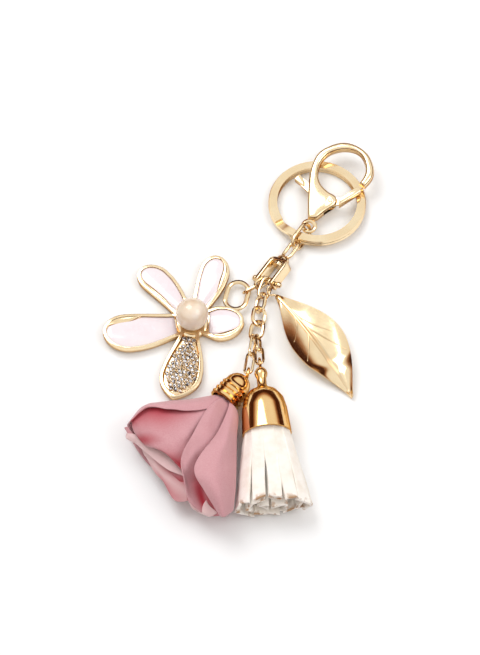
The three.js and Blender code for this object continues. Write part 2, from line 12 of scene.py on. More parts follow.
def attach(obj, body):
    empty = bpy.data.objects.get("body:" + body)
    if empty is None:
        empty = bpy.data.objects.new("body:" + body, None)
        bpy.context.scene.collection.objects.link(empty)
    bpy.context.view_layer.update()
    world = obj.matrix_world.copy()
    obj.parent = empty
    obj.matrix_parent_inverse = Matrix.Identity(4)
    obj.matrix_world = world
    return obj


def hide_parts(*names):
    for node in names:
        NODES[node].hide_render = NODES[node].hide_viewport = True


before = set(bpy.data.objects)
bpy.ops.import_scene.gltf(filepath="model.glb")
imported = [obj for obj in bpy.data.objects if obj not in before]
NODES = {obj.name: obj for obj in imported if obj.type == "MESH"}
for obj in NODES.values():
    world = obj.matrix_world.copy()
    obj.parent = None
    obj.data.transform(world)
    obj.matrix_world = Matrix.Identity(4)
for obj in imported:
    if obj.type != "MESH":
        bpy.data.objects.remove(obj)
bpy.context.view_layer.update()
MM = 0.001
random.seed(7)


# ---- small helpers ------------------------------------------------------------------
def axes_at(origin, heading):
    """Local axes: X along the heading in the ground plane, Z up; millimetres in, metres out."""
    turn = Matrix.Rotation(math.radians(heading), 4, "Z")
    return Matrix.Scale(MM, 4) @ Matrix.Translation(Vector(origin)) @ turn


def add_piece(name, points, faces, body, material, place, smooth=True):
    mesh = bpy.data.meshes.new(name)
    mesh.from_pydata([place @ Vector(p) for p in points], [], faces)
    mesh.validate()
    mesh.update()
    for polygon in mesh.polygons:
        polygon.use_smooth = smooth
    mesh.materials.append(material)
    piece = bpy.data.objects.new(name, mesh)
    bpy.context.scene.collection.objects.link(piece)
    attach(piece, body)
    return piece


def smooth_step(low, high, value):
    t = min(max((value - low) / (high - low), 0), 1)
    return t * t * (3 - 2 * t)


def through(points, share):
    """The point at a share, 0 to 1, of a smooth curve through the given points."""
    spans = len(points) - 1
    i = min(int(share * spans), spans - 1)
    t = share * spans - i
    before, start, end = points[max(i - 1, 0)], points[i], points[i + 1]
    after = points[min(i + 2, spans)]
    linear = end - before
    square = 2 * before - 5 * start + 4 * end - after
    cube = 3 * start - before - 3 * end + after
    return 0.5 * (2 * start + linear * t + square * t**2 + cube * t**3)


def grid_faces(rows, columns, closed=False, first=0):
    """Quads over a grid of points that is stored row by row."""
    faces = []
    for i in range(rows - 1):
        for j in range(columns if closed else columns - 1):
            right = (j + 1) % columns
            low, high = first + i * columns, first + (i + 1) * columns
            faces.append((low + j, low + right, high + right, high + j))
    return faces


def tube(route, radius_at, sides=10):
    """Points and faces of a closed tube along the route."""
    points = []
    count = len(route)
    for i, centre in enumerate(route):
        along = (route[min(i + 1, count - 1)] - route[max(i - 1, 0)]).normalized()
        side = along.cross(Vector((0, 0, 1))).normalized()
        upward = side.cross(along)
        radius = radius_at(i / (count - 1))
        for j in range(sides):
            angle = 2 * math.pi * j / sides
            points.append(centre + radius * (math.cos(angle) * side + math.sin(angle) * upward))
    faces = grid_faces(count, sides, closed=True)
    faces.append(tuple(reversed(range(sides))))
    faces.append(tuple(range((count - 1) * sides, count * sides)))
    return points, faces


class Shape:
    """Collects several closed parts into one mesh."""

    def __init__(self):
        self.points, self.faces = [], []

    def add(self, points, faces):
        first = len(self.points)
        self.points += points
        self.faces += [tuple(first + k for k in face) for face in faces]


def closed_slab(top, bottom, rows, columns):
    """A closed shape between two grids of points, with a wall round their outer edge."""
    slab = Shape()
    slab.add(top, grid_faces(rows, columns))
    slab.add(bottom, [tuple(reversed(face)) for face in grid_faces(rows, columns)])
    under = len(top)
    edge = list(range(columns))
    edge += [i * columns + columns - 1 for i in range(1, rows)]
    edge += [(rows - 1) * columns + j for j in reversed(range(columns - 1))]
    edge += [i * columns for i in reversed(range(1, rows - 1))]
    for k, a in enumerate(edge):
        b = edge[(k + 1) % len(edge)]
        slab.faces.append((a, under + a, under + b, b))
    return slab


def fill_ramp(ramp, stops):
    """Sets a colour ramp's stops, each (position, (r, g, b))."""
    while len(ramp.color_ramp.elements) < len(stops):
        ramp.color_ramp.elements.new(0.5)
    for element, (position, colour) in zip(ramp.color_ramp.elements, stops):
        element.position = position
        element.color = (*colour, 1)


# ---- materials ------------------------------------------------------------------------
class Paint:
    """A Principled material with short calls for the nodes used below."""

    def __init__(self, name, **constants):
        self.material = bpy.data.materials.new(name)
        self.material.use_nodes = True
        self.tree = self.material.node_tree
        self.shader = self.tree.nodes["Principled BSDF"]
        for socket, value in constants.items():
            self.shader.inputs[socket.replace("_", " ")].default_value = value
        self.where = self.node("ShaderNodeTexCoord").outputs["Object"]

    def node(self, kind, **settings):
        made = self.tree.nodes.new(kind)
        for key, value in settings.items():
            setattr(made, key, value)
        return made

    def link(self, start, end):
        self.tree.links.new(start, end)

    def noise(self, scale, detail=3, stretch=None):
        texture = self.node("ShaderNodeTexNoise")
        texture.inputs["Scale"].default_value = scale
        texture.inputs["Detail"].default_value = detail
        where = self.where
        if stretch:
            mapping = self.node("ShaderNodeMapping")
            mapping.inputs["Scale"].default_value = stretch
            self.link(where, mapping.inputs["Vector"])
            where = mapping.outputs["Vector"]
        self.link(where, texture.inputs["Vector"])
        return texture.outputs["Fac"]

    def wave(self, scale, axis):
        texture = self.node("ShaderNodeTexWave", wave_type="BANDS", bands_direction=axis)
        texture.inputs["Scale"].default_value = scale
        texture.inputs["Distortion"].default_value = 0.6
        texture.inputs["Detail Scale"].default_value = 2
        self.link(self.where, texture.inputs["Vector"])
        return texture.outputs["Fac"]

    def ramp(self, value, *stops):
        """Colours at positions along a value; a stop is (position, (r, g, b))."""
        ramp = self.node("ShaderNodeValToRGB")
        fill_ramp(ramp, stops)
        self.link(value, ramp.inputs["Fac"])
        return ramp.outputs["Color"]

    def mix(self, share, first, second, mode="MIX"):
        """Mixes two colours, either sockets or (r, g, b), by a share that is a socket or a number."""
        mixer = self.node("ShaderNodeMix", data_type="RGBA", blend_type=mode)
        for socket, value in ((0, share), (6, first), (7, second)):
            if isinstance(value, bpy.types.NodeSocket):
                self.link(value, mixer.inputs[socket])
            elif socket == 0:
                mixer.inputs[socket].default_value = value
            else:
                mixer.inputs[socket].default_value = (*value, 1)
        return mixer.outputs[2]

    def scaled(self, value, low, high):
        ranger = self.node("ShaderNodeMapRange")
        ranger.inputs["To Min"].default_value = low
        ranger.inputs["To Max"].default_value = high
        self.link(value, ranger.inputs["Value"])
        return ranger.outputs["Result"]

    def attribute(self, name):
        return self.node("ShaderNodeAttribute", attribute_name=name).outputs["Fac"]

    def bump(self, height, strength, distance):
        bump = self.node("ShaderNodeBump")
        bump.inputs["Strength"].default_value = strength
        bump.inputs["Distance"].default_value = distance
        self.link(height, bump.inputs["Height"])
        old = self.shader.inputs["Normal"].links
        if old:
            self.link(old[0].from_socket, bump.inputs["Normal"])
        self.link(bump.outputs["Normal"], self.shader.inputs["Normal"])

    def colour(self, socket):
        self.link(socket, self.shader.inputs["Base Color"])

    def roughness(self, socket):
        self.link(socket, self.shader.inputs["Roughness"])


def gold(name, bright, deep, roughness):
    """Polished plate: two tones of gold that darken at glancing angles, and hairline scratches."""
    paint = Paint(name, Metallic=1.0)
    paint.shader.inputs["Specular Tint"].default_value = (0.45, 0.22, 0.12, 1)
    cloud = paint.noise(160, 4)
    paint.colour(paint.mix(paint.scaled(cloud, 0, 1), deep, bright))
    paint.roughness(paint.scaled(paint.noise(900, 3), roughness * 0.6, roughness * 1.5))
    paint.bump(paint.noise(700, 2, (1, 9, 1)), 0.10, 0.00004)
    paint.bump(paint.noise(220, 2), 0.12, 0.0002)
    return paint.material


def enamel_paint():
    paint = Paint("enamel_pinkish_white", Coat_Weight=1.0, Coat_Roughness=0.05, Subsurface_Weight=0.05)
    paint.shader.inputs["Subsurface Radius"].default_value = (0.002, 0.001, 0.001)
    cloud = paint.noise(150, 3)
    tone = paint.ramp(
        cloud,
        (0.3, (0.80, 0.70, 0.74)),
        (0.5, (0.85, 0.76, 0.80)),
        (0.75, (0.88, 0.80, 0.82)),
    )
    paint.colour(tone)
    paint.roughness(paint.scaled(paint.noise(500), 0.18, 0.34))
    paint.bump(paint.noise(260, 2), 0.10, 0.0002)
    return paint.material


def pearl_paint():
    paint = Paint(
        "pearl_cream",
        Coat_Weight=0.8,
        Coat_Roughness=0.08,
        Sheen_Weight=0.2,
        Subsurface_Weight=0.1,
    )
    paint.shader.inputs["Subsurface Radius"].default_value = (0.003, 0.002, 0.0015)
    swirl = paint.noise(120, 4, (1, 1, 2.5))
    tone = paint.ramp(
        swirl,
        (0.3, (0.74, 0.55, 0.38)),
        (0.5, (0.88, 0.74, 0.58)),
        (0.72, (0.95, 0.85, 0.76)),
    )
    paint.colour(tone)
    paint.roughness(paint.scaled(paint.noise(400), 0.14, 0.3))
    paint.bump(paint.noise(800, 3), 0.05, 0.0001)
    return paint.material


def stone_paint():
    paint = Paint("rhinestone_painted_glints", Metallic=0.85, Coat_Weight=1.0, Coat_Roughness=0.02)
    # Painted reflections: the stones are clear, and the near-black, white and brown patches scattered by
    # noise stand in for the glints and dark reflections of their facets.
    tone = paint.ramp(
        paint.noise(900, 1),
        (0.36, (0.08, 0.06, 0.06)),
        (0.5, (0.97, 0.97, 1.0)),
        (0.60, (0.45, 0.30, 0.14)),
    )
    paint.colour(tone)
    paint.roughness(paint.scaled(paint.noise(1200), 0.03, 0.12))
    return paint.material


def rose_paint(name, bright, shade, crimson):
    """Satin weave: threads both ways, soft tone clouds, and crimson painted shade in the petal's folds,
    where its painted shade attribute is high.
    """
    paint = Paint(name, Sheen_Weight=0.35, Sheen_Roughness=0.5)
    paint.shader.inputs["Sheen Tint"].default_value = (1, 0.85, 0.87, 1)
    warp = paint.wave(900, "X")
    weft = paint.wave(900, "Y")
    weave = paint.mix(0.5, warp, weft)
    cloud = paint.mix(paint.noise(90, 4), shade, bright)
    threads = paint.mix(paint.scaled(weave, 0.0, 0.4), cloud, shade)
    speckle = paint.mix(paint.scaled(paint.noise(2600, 2), 0.0, 0.25), threads, (0.95, 0.80, 0.82))
    # Painted shade: crimson mixed in where the folds' painted shade attribute is high.
    paint.colour(paint.mix(paint.attribute("painted_fold_shade"), speckle, crimson))
    paint.roughness(paint.scaled(paint.noise(1500), 0.55, 0.8))
    paint.bump(weave, 0.25, 0.00015)
    paint.bump(paint.noise(180, 3), 0.25, 0.0006)
    return paint.material


def suede_paint():
    """Ivory nap, with tan where the cut attribute marks the strip's cut end."""
    paint = Paint("suede_ivory", Sheen_Weight=0.5, Sheen_Roughness=0.6)
    tone = paint.ramp(
        paint.noise(260, 5),
        (0.3, (0.90, 0.83, 0.73)),
        (0.55, (0.97, 0.93, 0.86)),
        (0.8, (0.99, 0.97, 0.92)),
    )
    patch = paint.ramp(paint.noise(420, 2), (0.5, (0, 0, 0)), (0.62, (1, 1, 1)))
    ends = paint.mix(1.0, patch, paint.attribute("cut"), "MULTIPLY")
    paint.colour(paint.mix(ends, tone, (0.42, 0.22, 0.08)))
    paint.roughness(paint.scaled(paint.noise(800), 0.8, 0.98))
    paint.bump(paint.noise(2400, 4), 0.35, 0.0002)
    paint.bump(paint.noise(300, 3), 0.3, 0.0004)
    return paint.material


def floor_paint():
    paint = Paint("floor_white")
    paint.colour(paint.mix(paint.noise(3, 2), (0.94, 0.955, 0.965), (0.95, 0.965, 0.975)))
    paint.roughness(paint.scaled(paint.noise(20), 0.75, 0.85))
    return paint.material


PALE_GOLD = gold("gold_pale", (1.0, 0.86, 0.60), (0.86, 0.62, 0.34), 0.12)
WARM_GOLD = gold("gold_warm", (0.98, 0.72, 0.36), (0.85, 0.50, 0.20), 0.10)
ENAMEL = enamel_paint()
PEARL = pearl_paint()
STONE = stone_paint()
# The last colour of each rose material is the crimson painted shade in its folds.
ROSE_OUTER = rose_paint("rose_fabric", (0.70, 0.36, 0.39), (0.52, 0.20, 0.23), (0.42, 0.010, 0.03))
ROSE_PALE = rose_paint("rose_fabric_pale", (0.86, 0.68, 0.66), (0.74, 0.45, 0.46), (0.45, 0.04, 0.07))
SUEDE = suede_paint()

# ---- the CAD's own nodes: material, welded seams and crisp corners ---------------------
REPLACED = ("rose_bloom", "suede_skirt", "pave_stones", "pearl", "leaf")
SEAM = 0.002 * MM
CORNER = math.radians(38)
for node_name, node in NODES.items():
    if node_name in REPLACED:
        continue
    node.data.materials.clear()
    if node_name.startswith("enamel"):
        node.data.materials.append(ENAMEL)
    elif node_name in ("rose_cap", "bell_cap"):
        node.data.materials.append(WARM_GOLD)
    else:
        node.data.materials.append(PALE_GOLD)
    for attribute_name in ("custom_normal", "sharp_face", "sharp_edge"):
        attribute = node.data.attributes.get(attribute_name)
        if attribute:
            node.data.attributes.remove(attribute)
    for polygon in node.data.polygons:
        polygon.use_smooth = True
    weld = node.modifiers.new("weld", "WELD")
    weld.merge_threshold = SEAM
    split = node.modifiers.new("corners", "EDGE_SPLIT")
    split.split_angle = CORNER

# ---- flower: pearl, stones on their gold bed, and the rolled edges of the rims ---------
FLOWER = axes_at((-15.3, 2.55, 0.1), 0)
PEARL_RADIUS = 5.3
PEARL_HEIGHT = 7.81


def make_pearl():
    rows, columns = 40, 64
    points = []
    for i in range(rows + 1):
        tilt = math.pi * i / rows
        for j in range(columns):
            turn = 2 * math.pi * j / columns
            flat = math.sin(tilt)
            outward = Vector((flat * math.cos(turn), flat * math.sin(turn), math.cos(tilt)))
            radius = PEARL_RADIUS - 0.03 + 0.05 * noise.noise(1.4 * outward)
            points.append(outward * radius + Vector((0, 0, PEARL_HEIGHT)))
    faces = grid_faces(rows + 1, columns, closed=True)
    pearl = add_piece("pearl_bead", points, faces, "flower", PEARL, FLOWER)
    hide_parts("pearl")


make_pearl()


class Petal:
    """One petal of the flower, in the flower's axes: the frame's outline repeated here."""

    ROOT = 3.2

    def __init__(self, heading, reach, width, neck, lift, bend, point=1):
        self.reach, self.width, self.neck, self.bend, self.point = reach, width, neck, bend, point
        turned = Matrix.Rotation(math.radians(heading), 4, "Z")
        lifted = Matrix.Rotation(math.radians(-lift), 4, "Y")
        self.place = FLOWER @ turned @ lifted

    def half_width(self, x, inset):
        """Half the width, at distance x from the hub's centre, of the outline shrunk by inset."""
        widest = self.reach - 0.62 * self.width
        half = self.width / 2 - inset
        root = self.ROOT + inset
        if x <= widest:
            swell = math.sin(math.pi / 2 * max(x - root, 0) / (widest - root)) ** 1.3
            return self.neck / 2 - inset + (half + inset - self.neck / 2) * swell
        end = self.reach - inset
        return half * max(1 - ((x - widest) / (end - widest)) ** 2, 0) ** (self.point / 2)

    def middle(self, x):
        return self.bend * math.sin(math.pi * (x - self.ROOT) / (self.reach - self.ROOT))


PETALS = {
    "upper_left": Petal(131, 25.6, 9.6, 5.4, 3, -1.2),
    "left": Petal(189, 29, 13, 7.6, 3, 1),
    "lower": Petal(257.5, 28, 13.4, 5.6, 2, 0.9, point=1.5),
    "right": Petal(-1, 16.8, 12, 8.2, 5, -0.4),
    "upper_right": Petal(69.5, 25, 9.8, 4.6, 4, -0.6),
}
HUB = 5.5
BED_INSET = 1.2


def dome_over(petal, name, inset, low, rise, material, rows=28, columns=16):
    """A pillowed filling inside the petal's rim, closed underneath."""
    top, bottom = [], []
    start, end = HUB + 0.1, petal.reach - inset - 0.02
    for i in range(rows + 1):
        along = 1 - (1 - i / rows) ** 1.6
        x = start + (end - start) * along
        half = petal.half_width(x, inset)
        for j in range(columns + 1):
            across = 2 * j / columns - 1
            y = petal.middle(x) + half * across
            swell = (1 - abs(across) ** 3) * min(1, 4 * (1 - along) ** 0.5)
            wave = 0.12 * noise.noise(Vector((0.15 * x, 0.2 * y, petal.reach)))
            top.append((x, y, low + rise * swell + wave * swell))
            bottom.append((x, y, low - 0.25))
    slab = closed_slab(top, bottom, rows + 1, columns + 1)
    return add_piece(name, slab.points, slab.faces, "flower", material, petal.place)


for petal_name in ("upper_left", "left", "right", "upper_right"):
    filling = dome_over(PETALS[petal_name], f"enamel_fill_{petal_name}", 1.0, 1.75, 0.55, ENAMEL)
    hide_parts(f"enamel_petal_{petal_name}")


def rolled_edge(petal, name, side, start, end, width, inset=0.85):
    """A crescent of the gold rim rolled in over the enamel along one side of the petal."""
    rows, sides = 30, 8
    points = []
    for i in range(rows + 1):
        share = i / rows
        x = petal.reach * (start + (end - start) * share)
        x = min(x, petal.reach - inset - 0.05)
        girth = max(width * math.sin(math.pi * share) ** 0.8, 0.05)
        outer = petal.middle(x) + side * petal.half_width(x, inset)
        ripple = 0.25 * math.sin(9 * share)
        for j in range(sides):
            angle = math.pi * j / (sides - 1)
            inward = (1 - math.cos(angle)) / 2
            height = 2.15 + (0.55 + 0.3 * ripple) * math.sin(angle) - 0.4 * inward
            points.append((x, outer - side * girth * inward, height))
        points.append((x, outer - side * girth * 0.5, 1.5))
    faces = grid_faces(rows + 1, sides + 1, closed=True)
    if side < 0:
        faces = [tuple(reversed(face)) for face in faces]
    return add_piece(name, points, faces, "flower", PALE_GOLD, petal.place)


# petal, side of its middle line, where the crescent starts and ends along it, and its width
ROLLS = (
    ("left", -1, 0.55, 0.985, 2.4),
    ("right", -1, 0.4, 0.97, 2.0),
    ("upper_right", -1, 0.5, 0.985, 1.8),
    ("upper_left", 1, 0.3, 0.97, 1.2),
    ("lower", 1, 0.35, 0.98, 1.2),
)
for petal_name, *roll in ROLLS:
    crescent = rolled_edge(PETALS[petal_name], f"rolled_rim_{petal_name}", *roll)

# ---- rhinestones: rows of faceted stones with beads of metal between them --------------
STONE_RADIUS = 0.72
STONE_PITCH = 1.5
STONE_LOOSENESS = (0.06, 0.06, 0.08)
BEAD_RADIUS = 0.24


def faceted_stone(centre, radius, turn):
    """A brilliant's crown: girdle, eight facets each way and a flat table."""
    points = []
    rings = (
        (radius, -0.55, 0),
        (radius, 0, 0),
        (0.8 * radius, 0.3, 0.5),
        (0.5 * radius, 0.46, 0),
    )
    for ring_radius, height, offset in rings:
        for j in range(8):
            angle = turn + 2 * math.pi * (j + offset) / 8
            corner = Vector((ring_radius * math.cos(angle), ring_radius * math.sin(angle), height))
            points.append(centre + corner)
    faces = []
    for i in range(3):
        for j in range(8):
            low, low_next = i * 8 + j, i * 8 + (j + 1) % 8
            high, high_next = low + 8, low_next + 8
            faces += [(low, low_next, high), (low_next, high_next, high)]
    faces.append(tuple(range(24, 32)))
    faces.append(tuple(reversed(range(8))))
    return points, faces


def metal_bead(centre, radius):
    """A small round bead of two rings of six points between two poles."""
    points = [centre + Vector((0, 0, radius))]
    for tilt in (0.35, 0.65):
        for j in range(6):
            angle = 2 * math.pi * j / 6
            flat = radius * math.sin(tilt * math.pi)
            height = radius * math.cos(tilt * math.pi)
            points.append(centre + Vector((flat * math.cos(angle), flat * math.sin(angle), height)))
    points.append(centre - Vector((0, 0, radius)))
    faces = [(0, 1 + j, 1 + (j + 1) % 6) for j in range(6)]
    faces += [(1 + j, 7 + j, 7 + (j + 1) % 6, 1 + (j + 1) % 6) for j in range(6)]
    faces += [(13, 7 + (j + 1) % 6, 7 + j) for j in range(6)]
    return points, faces


def make_stones():
    petal = PETALS["lower"]
    bed = dome_over(petal, "stone_bed", 1.0, 1.6, 0.5, PALE_GOLD)
    stones, beads = Shape(), Shape()
    row, x = 0, HUB + 1.2
    while x < petal.reach - 1.6:
        offset = STONE_PITCH / 2 * (row % 2)
        for k in range(-6, 7):
            y = k * STONE_PITCH + offset
            room = petal.half_width(x, BED_INSET)
            if abs(y) + 0.75 * STONE_RADIUS < room:
                height = 2.15 + 0.45 * (1 - (y / max(room, 1)) ** 2)
                centre = Vector((x, y + petal.middle(x), height))
                shift = Vector([random.uniform(-reach, reach) for reach in STONE_LOOSENESS])
                stones.add(*faceted_stone(centre + shift, STONE_RADIUS, random.uniform(0, 1)))
                for side in (-1, 1):
                    spot = centre + Vector((0.29 * STONE_PITCH * side, STONE_PITCH / 2, 0.12))
                    beads.add(*metal_bead(spot, BEAD_RADIUS))
        row += 1
        x += STONE_PITCH * 0.88
    place = petal.place
    crystals = add_piece("rhinestones", stones.points, stones.faces, "flower", STONE, place, smooth=False)
    setting = add_piece("stone_beads", beads.points, beads.faces, "flower", PALE_GOLD, place)
    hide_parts("pave_stones")


make_stones()

# ---- leaf: curved blade with raised midrib and veins ------------------------------------
LEAF_LENGTH = 43
LEAF_HALF_WIDTH = 8.3
LEAF_THICKNESS = 0.7
PIN_CENTRE = Vector((8.7087, 16.619, 3.5))
PIN_TO_CURL = 1.95
SWIVEL_ALONG = Vector((0.5592, 0.829, 0))
SHACKLE_UP = Vector((-0.3764, 0.2539, 0.891))
PIN_ALONG = Vector((0.7387, -0.4982, 0.454))
CURL_RADIUS = 1.35
STEM_RADIUS = 0.36
LEAF = axes_at((11.6, 11.95, 2.6), math.degrees(math.atan2(-0.82, 0.57)))


def leaf_point(u, v):
    """The blade's upper face: u from the stem to the tip, v from its right edge to its left."""
    across = 2 * v - 1
    fullness = math.sin(math.pi * u**0.95) ** 1.5 if across < 0 else math.sin(math.pi * u**1.05) ** 1.1
    half = LEAF_HALF_WIDTH * fullness + 0.35
    sway = 1.1 * math.sin(1.2 * math.pi * u)
    cup = 2.6 * abs(across) ** 1.6 * fullness
    wave = 0.7 * math.sin(7 * u + 1.5 * across) * abs(across)
    arch = 1.4 * math.sin(math.pi * u) - 2.4 * u
    curl = 1.3 * smooth_step(0.66 + 0.04 * across, 0.80 + 0.04 * across, u)
    return Vector((LEAF_LENGTH * u, across * half + sway, cup + wave + arch + curl))


def make_leaf():
    rows, columns = 72, 33
    first, span = 0.0001, 0.9998
    shares = [first + span * i / (rows - 1) for i in range(rows)]
    top = [leaf_point(u, j / (columns - 1)) for u in shares for j in range(columns)]
    bottom = [p - Vector((0, 0, LEAF_THICKNESS)) for p in top]
    slab = closed_slab(top, bottom, rows, columns)
    blade = add_piece("leaf_blade", slab.points, slab.faces, "leaf", PALE_GOLD, LEAF)
    blade.modifiers.new("corners", "EDGE_SPLIT").split_angle = math.radians(45)
    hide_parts("leaf")


def vein(name, start, end, bow, radius):
    """A raised rib along the blade between two (u, v) spots."""
    route = []
    for k in range(25):
        t = k / 24
        u = start[0] + (end[0] - start[0]) * t
        v = start[1] + (end[1] - start[1]) * t + bow * math.sin(math.pi * t)
        route.append(leaf_point(u, v))
    points, faces = tube(route, lambda t: radius * (1 - 0.75 * t**2) + 0.03)
    rib = add_piece(name, points, faces, "leaf", PALE_GOLD, LEAF)


def make_stem():
    """The wire that curls once round the connector's cross pin and runs down to the blade."""
    pin = PIN_CENTRE + PIN_TO_CURL * PIN_ALONG
    route = []
    for i in range(10):
        angle = math.radians(20 + 36 * i)
        around = CURL_RADIUS * (math.sin(angle) * SHACKLE_UP - math.cos(angle) * SWIVEL_ALONG)
        route.append(pin + around + (0.03 * i - 0.2) * PIN_ALONG)
    route.append(pin - 2.3 * SWIVEL_ALONG - Vector((0, 0, 0.7)))
    route += [Vector((9.6, 12.25, 2.6)), Vector((11.6, 11.95, 2.6)), Vector((13.4, 9.35, 2.8))]
    smooth = [through(route, k / 120) for k in range(121)]
    points, faces = tube(smooth, lambda share: STEM_RADIUS)
    stem = add_piece("leaf_stem", points, faces, "leaf", PALE_GOLD, axes_at((0, 0, 0), 0))


make_leaf()
make_stem()
MIDRIB_RADIUS = 0.42
VEIN_RADIUS = 0.24
vein("leaf_midrib_left", (0.0, 0.53), (0.97, 0.51), 0.0, MIDRIB_RADIUS)
vein("leaf_midrib_right", (0.0, 0.46), (0.97, 0.47), 0.0, MIDRIB_RADIUS)
vein("leaf_vein_left_1", (0.22, 0.54), (0.5, 0.86), -0.04, VEIN_RADIUS)
vein("leaf_vein_left_2", (0.36, 0.54), (0.68, 0.92), -0.04, VEIN_RADIUS)
vein("leaf_vein_right_1", (0.22, 0.46), (0.42, 0.1), 0.04, VEIN_RADIUS)
vein("leaf_vein_right_2", (0.4, 0.46), (0.6, 0.07), 0.04, VEIN_RADIUS)

# ---- fabric rose -------------------------------------------------------------------------
ROSE = axes_at((-1, -21.85, 5.6), -128)
FABRIC = 0.32
THROAT = Vector((3.4, 0, 0))


def fold_shade(u, v, folds):
    """How much painted crimson shade the spot (u along, v across) gets from the folds, from 0 to 1."""
    depth = 0
    for fold_v, fold_u, size, deepest in folds:
        across = (v - fold_v) / (0.6 * size)
        along = (u - fold_u) / size
        depth = max(depth, deepest * math.exp(-across ** 2 - along ** 2))
    return min(depth, 1)


def rose_petal(name, lines, material, folds=(), roll=0.0, crease=0.22, hold=True):
    """A petal from lines of (along, across, height) points that run from the cap to its lip.

    Each entry in folds is (share across, share along, size, depth) of a painted crimson shadow, and roll
    turns the lip under.
    Hold starts the petal inside the cap's throat.
    """
    rows, columns = 44, 40
    lines = [[Vector(p) for p in line] for line in lines]
    if hold:
        lines = [[THROAT + Vector((2.4, 0.25 * line[0].y, 0.2 * line[0].z))] + line for line in lines]
    points, shade = [], []
    for i in range(rows):
        u = i / (rows - 1)
        for j in range(columns):
            v = j / (columns - 1)
            point = through([through(line, u) for line in lines], v)
            ripple = noise.noise(0.16 * point + Vector((len(name), 0, 0)))
            fine = noise.noise(0.45 * point)
            point += Vector((0, 0, crease * (3 * ripple + fine) * smooth_step(0.1, 0.5, u)))
            under = smooth_step(0.88, 1, u)
            point += Vector((-0.6 * roll * under**2, 0, -roll * under**2))
            points.append(point)
            shade.append(fold_shade(u, v, folds))
    petal = add_piece(name, points, grid_faces(rows, columns), "rose", material, ROSE)
    # Painted shade: how much crimson shadow the rose material paints at each point.
    painted_fold_shade = petal.data.attributes.new("painted_fold_shade", "FLOAT", "POINT")
    painted_fold_shade.data.foreach_set("value", shade)
    thick = petal.modifiers.new("fabric", "SOLIDIFY")
    thick.thickness = FABRIC * MM
    thick.offset = 0
    return petal


# The folds lists below place the painted crimson shade on each petal.
right_petal = rose_petal(
    "rose_petal_right",
    [
        [(9.5, 4.0, 4.5), (20.0, 8.0, 9.5), (34.5, 10.5, 13.0), (38.5, 17.5, 12.0), (41.0, 25.5, 8.0)],
        [(9.0, 5.5, 4.5), (20.5, 12.0, 11.5), (31.5, 16.5, 14.0), (36.0, 21.5, 13.5), (40.5, 27.0, 8.5)],
        [(8.5, 7.0, 2.5), (16.5, 12.5, 5.5), (24.0, 18.0, 6.5), (30.5, 23.0, 6.5), (36.0, 26.5, 4.5)],
        [(7.5, 6.0, -1.5), (13.5, 10.0, -2.5), (20.5, 15.0, -3.0), (27.0, 19.5, -3.0), (33.5, 24.0, -2.5)],
    ],
    ROSE_OUTER,
    folds=[(1.0, 0.6, 0.5, 0.35)],
)
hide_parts("rose_bloom")
rose_petal(
    "rose_petal_middle",
    [
        [(13.5, -0.5, 6.5), (24.5, 2.5, 11.0), (34.0, 5.0, 11.5), (39.0, 10.0, 9.5), (42.5, 14.5, 5.5)],
        [(11.5, 0.5, 6.5), (23.0, 5.5, 10.0), (34.0, 8.0, 9.5), (38.5, 11.5, 6.5), (42.0, 18.5, 3.0)],
        [(9.5, 3.0, 3.5), (21.0, 8.5, 7.5), (31.5, 11.5, 6.5), (36.5, 15.0, 4.5), (41.0, 21.5, 2.5)],
        [(9.0, 4.0, 2.5), (18.5, 9.5, 4.5), (28.5, 13.5, 4.5), (35.0, 18.0, 5.5), (40.0, 25.0, 5.5)],
    ],
    ROSE_OUTER,
    folds=[(0.85, 0.7, 0.34, 1.0), (0.6, 0.88, 0.3, 1.0), (1.0, 0.4, 0.25, 0.5)],
)
rose_petal(
    "rose_petal_left",
    [
        [(12.5, -0.5, 5.5), (18.0, -4.5, 7.0), (22.0, -9.5, 7.5), (26.0, -15.0, 7.5), (32.0, -17.0, 6.5)],
        [(13.5, 0.0, 6.0), (21.0, -2.0, 8.5), (26.5, -5.0, 9.0), (30.5, -9.0, 8.5), (34.5, -14.0, 5.5)],
        [(14.0, 0.5, 6.0), (23.5, 1.0, 8.5), (30.0, 0.0, 9.0), (33.0, -3.5, 8.0), (36.0, -8.0, 6.0)],
        [(14.5, 0.5, 5.5), (24.0, 3.0, 6.5), (31.0, 5.0, 7.0), (34.0, 2.5, 7.0), (34.5, -2.5, 6.5)],
        [(15.0, 1.0, 5.0), (24.0, 4.5, 5.5), (31.5, 6.5, 5.5), (34.0, 7.0, 5.5), (35.5, 6.0, 5.5)],
    ],
    ROSE_OUTER,
    folds=[
        (0.0, 0.45, 0.24, 1.0),
        (0.0, 0.7, 0.36, 1.0),
        (0.0, 0.95, 0.3, 1.0),
        (0.9, 0.8, 0.4, 1.0),
        (0.4, 1.0, 0.16, 1.0),
        (0.7, 1.0, 0.16, 1.0),
    ],
    roll=0.8,
)
rose_petal(
    "rose_petal_top",
    [
        [(13.5, 0.0, 6.5), (19.0, -3.5, 9.0), (23.0, -9.0, 9.5), (26.5, -14.5, 9.5), (32.5, -16.5, 7.0)],
        [(11.0, -2.0, 5.5), (17.5, -6.0, 8.5), (22.0, -10.5, 9.0), (26.0, -15.5, 8.5), (33.0, -17.0, 5.5)],
        [(7.5, -3.0, 1.5), (16.0, -9.0, 4.0), (20.5, -13.5, 4.5), (25.5, -17.5, 4.0), (33.0, -17.5, 2.5)],
        [(7, -3.5, -1.5), (14.5, -9.5, -2.5), (19, -13, -3), (24, -17, -3), (32.5, -15.5, -2.5)],
    ],
    ROSE_OUTER,
    folds=[(0.0, 1.0, 0.2, 0.8)],
)
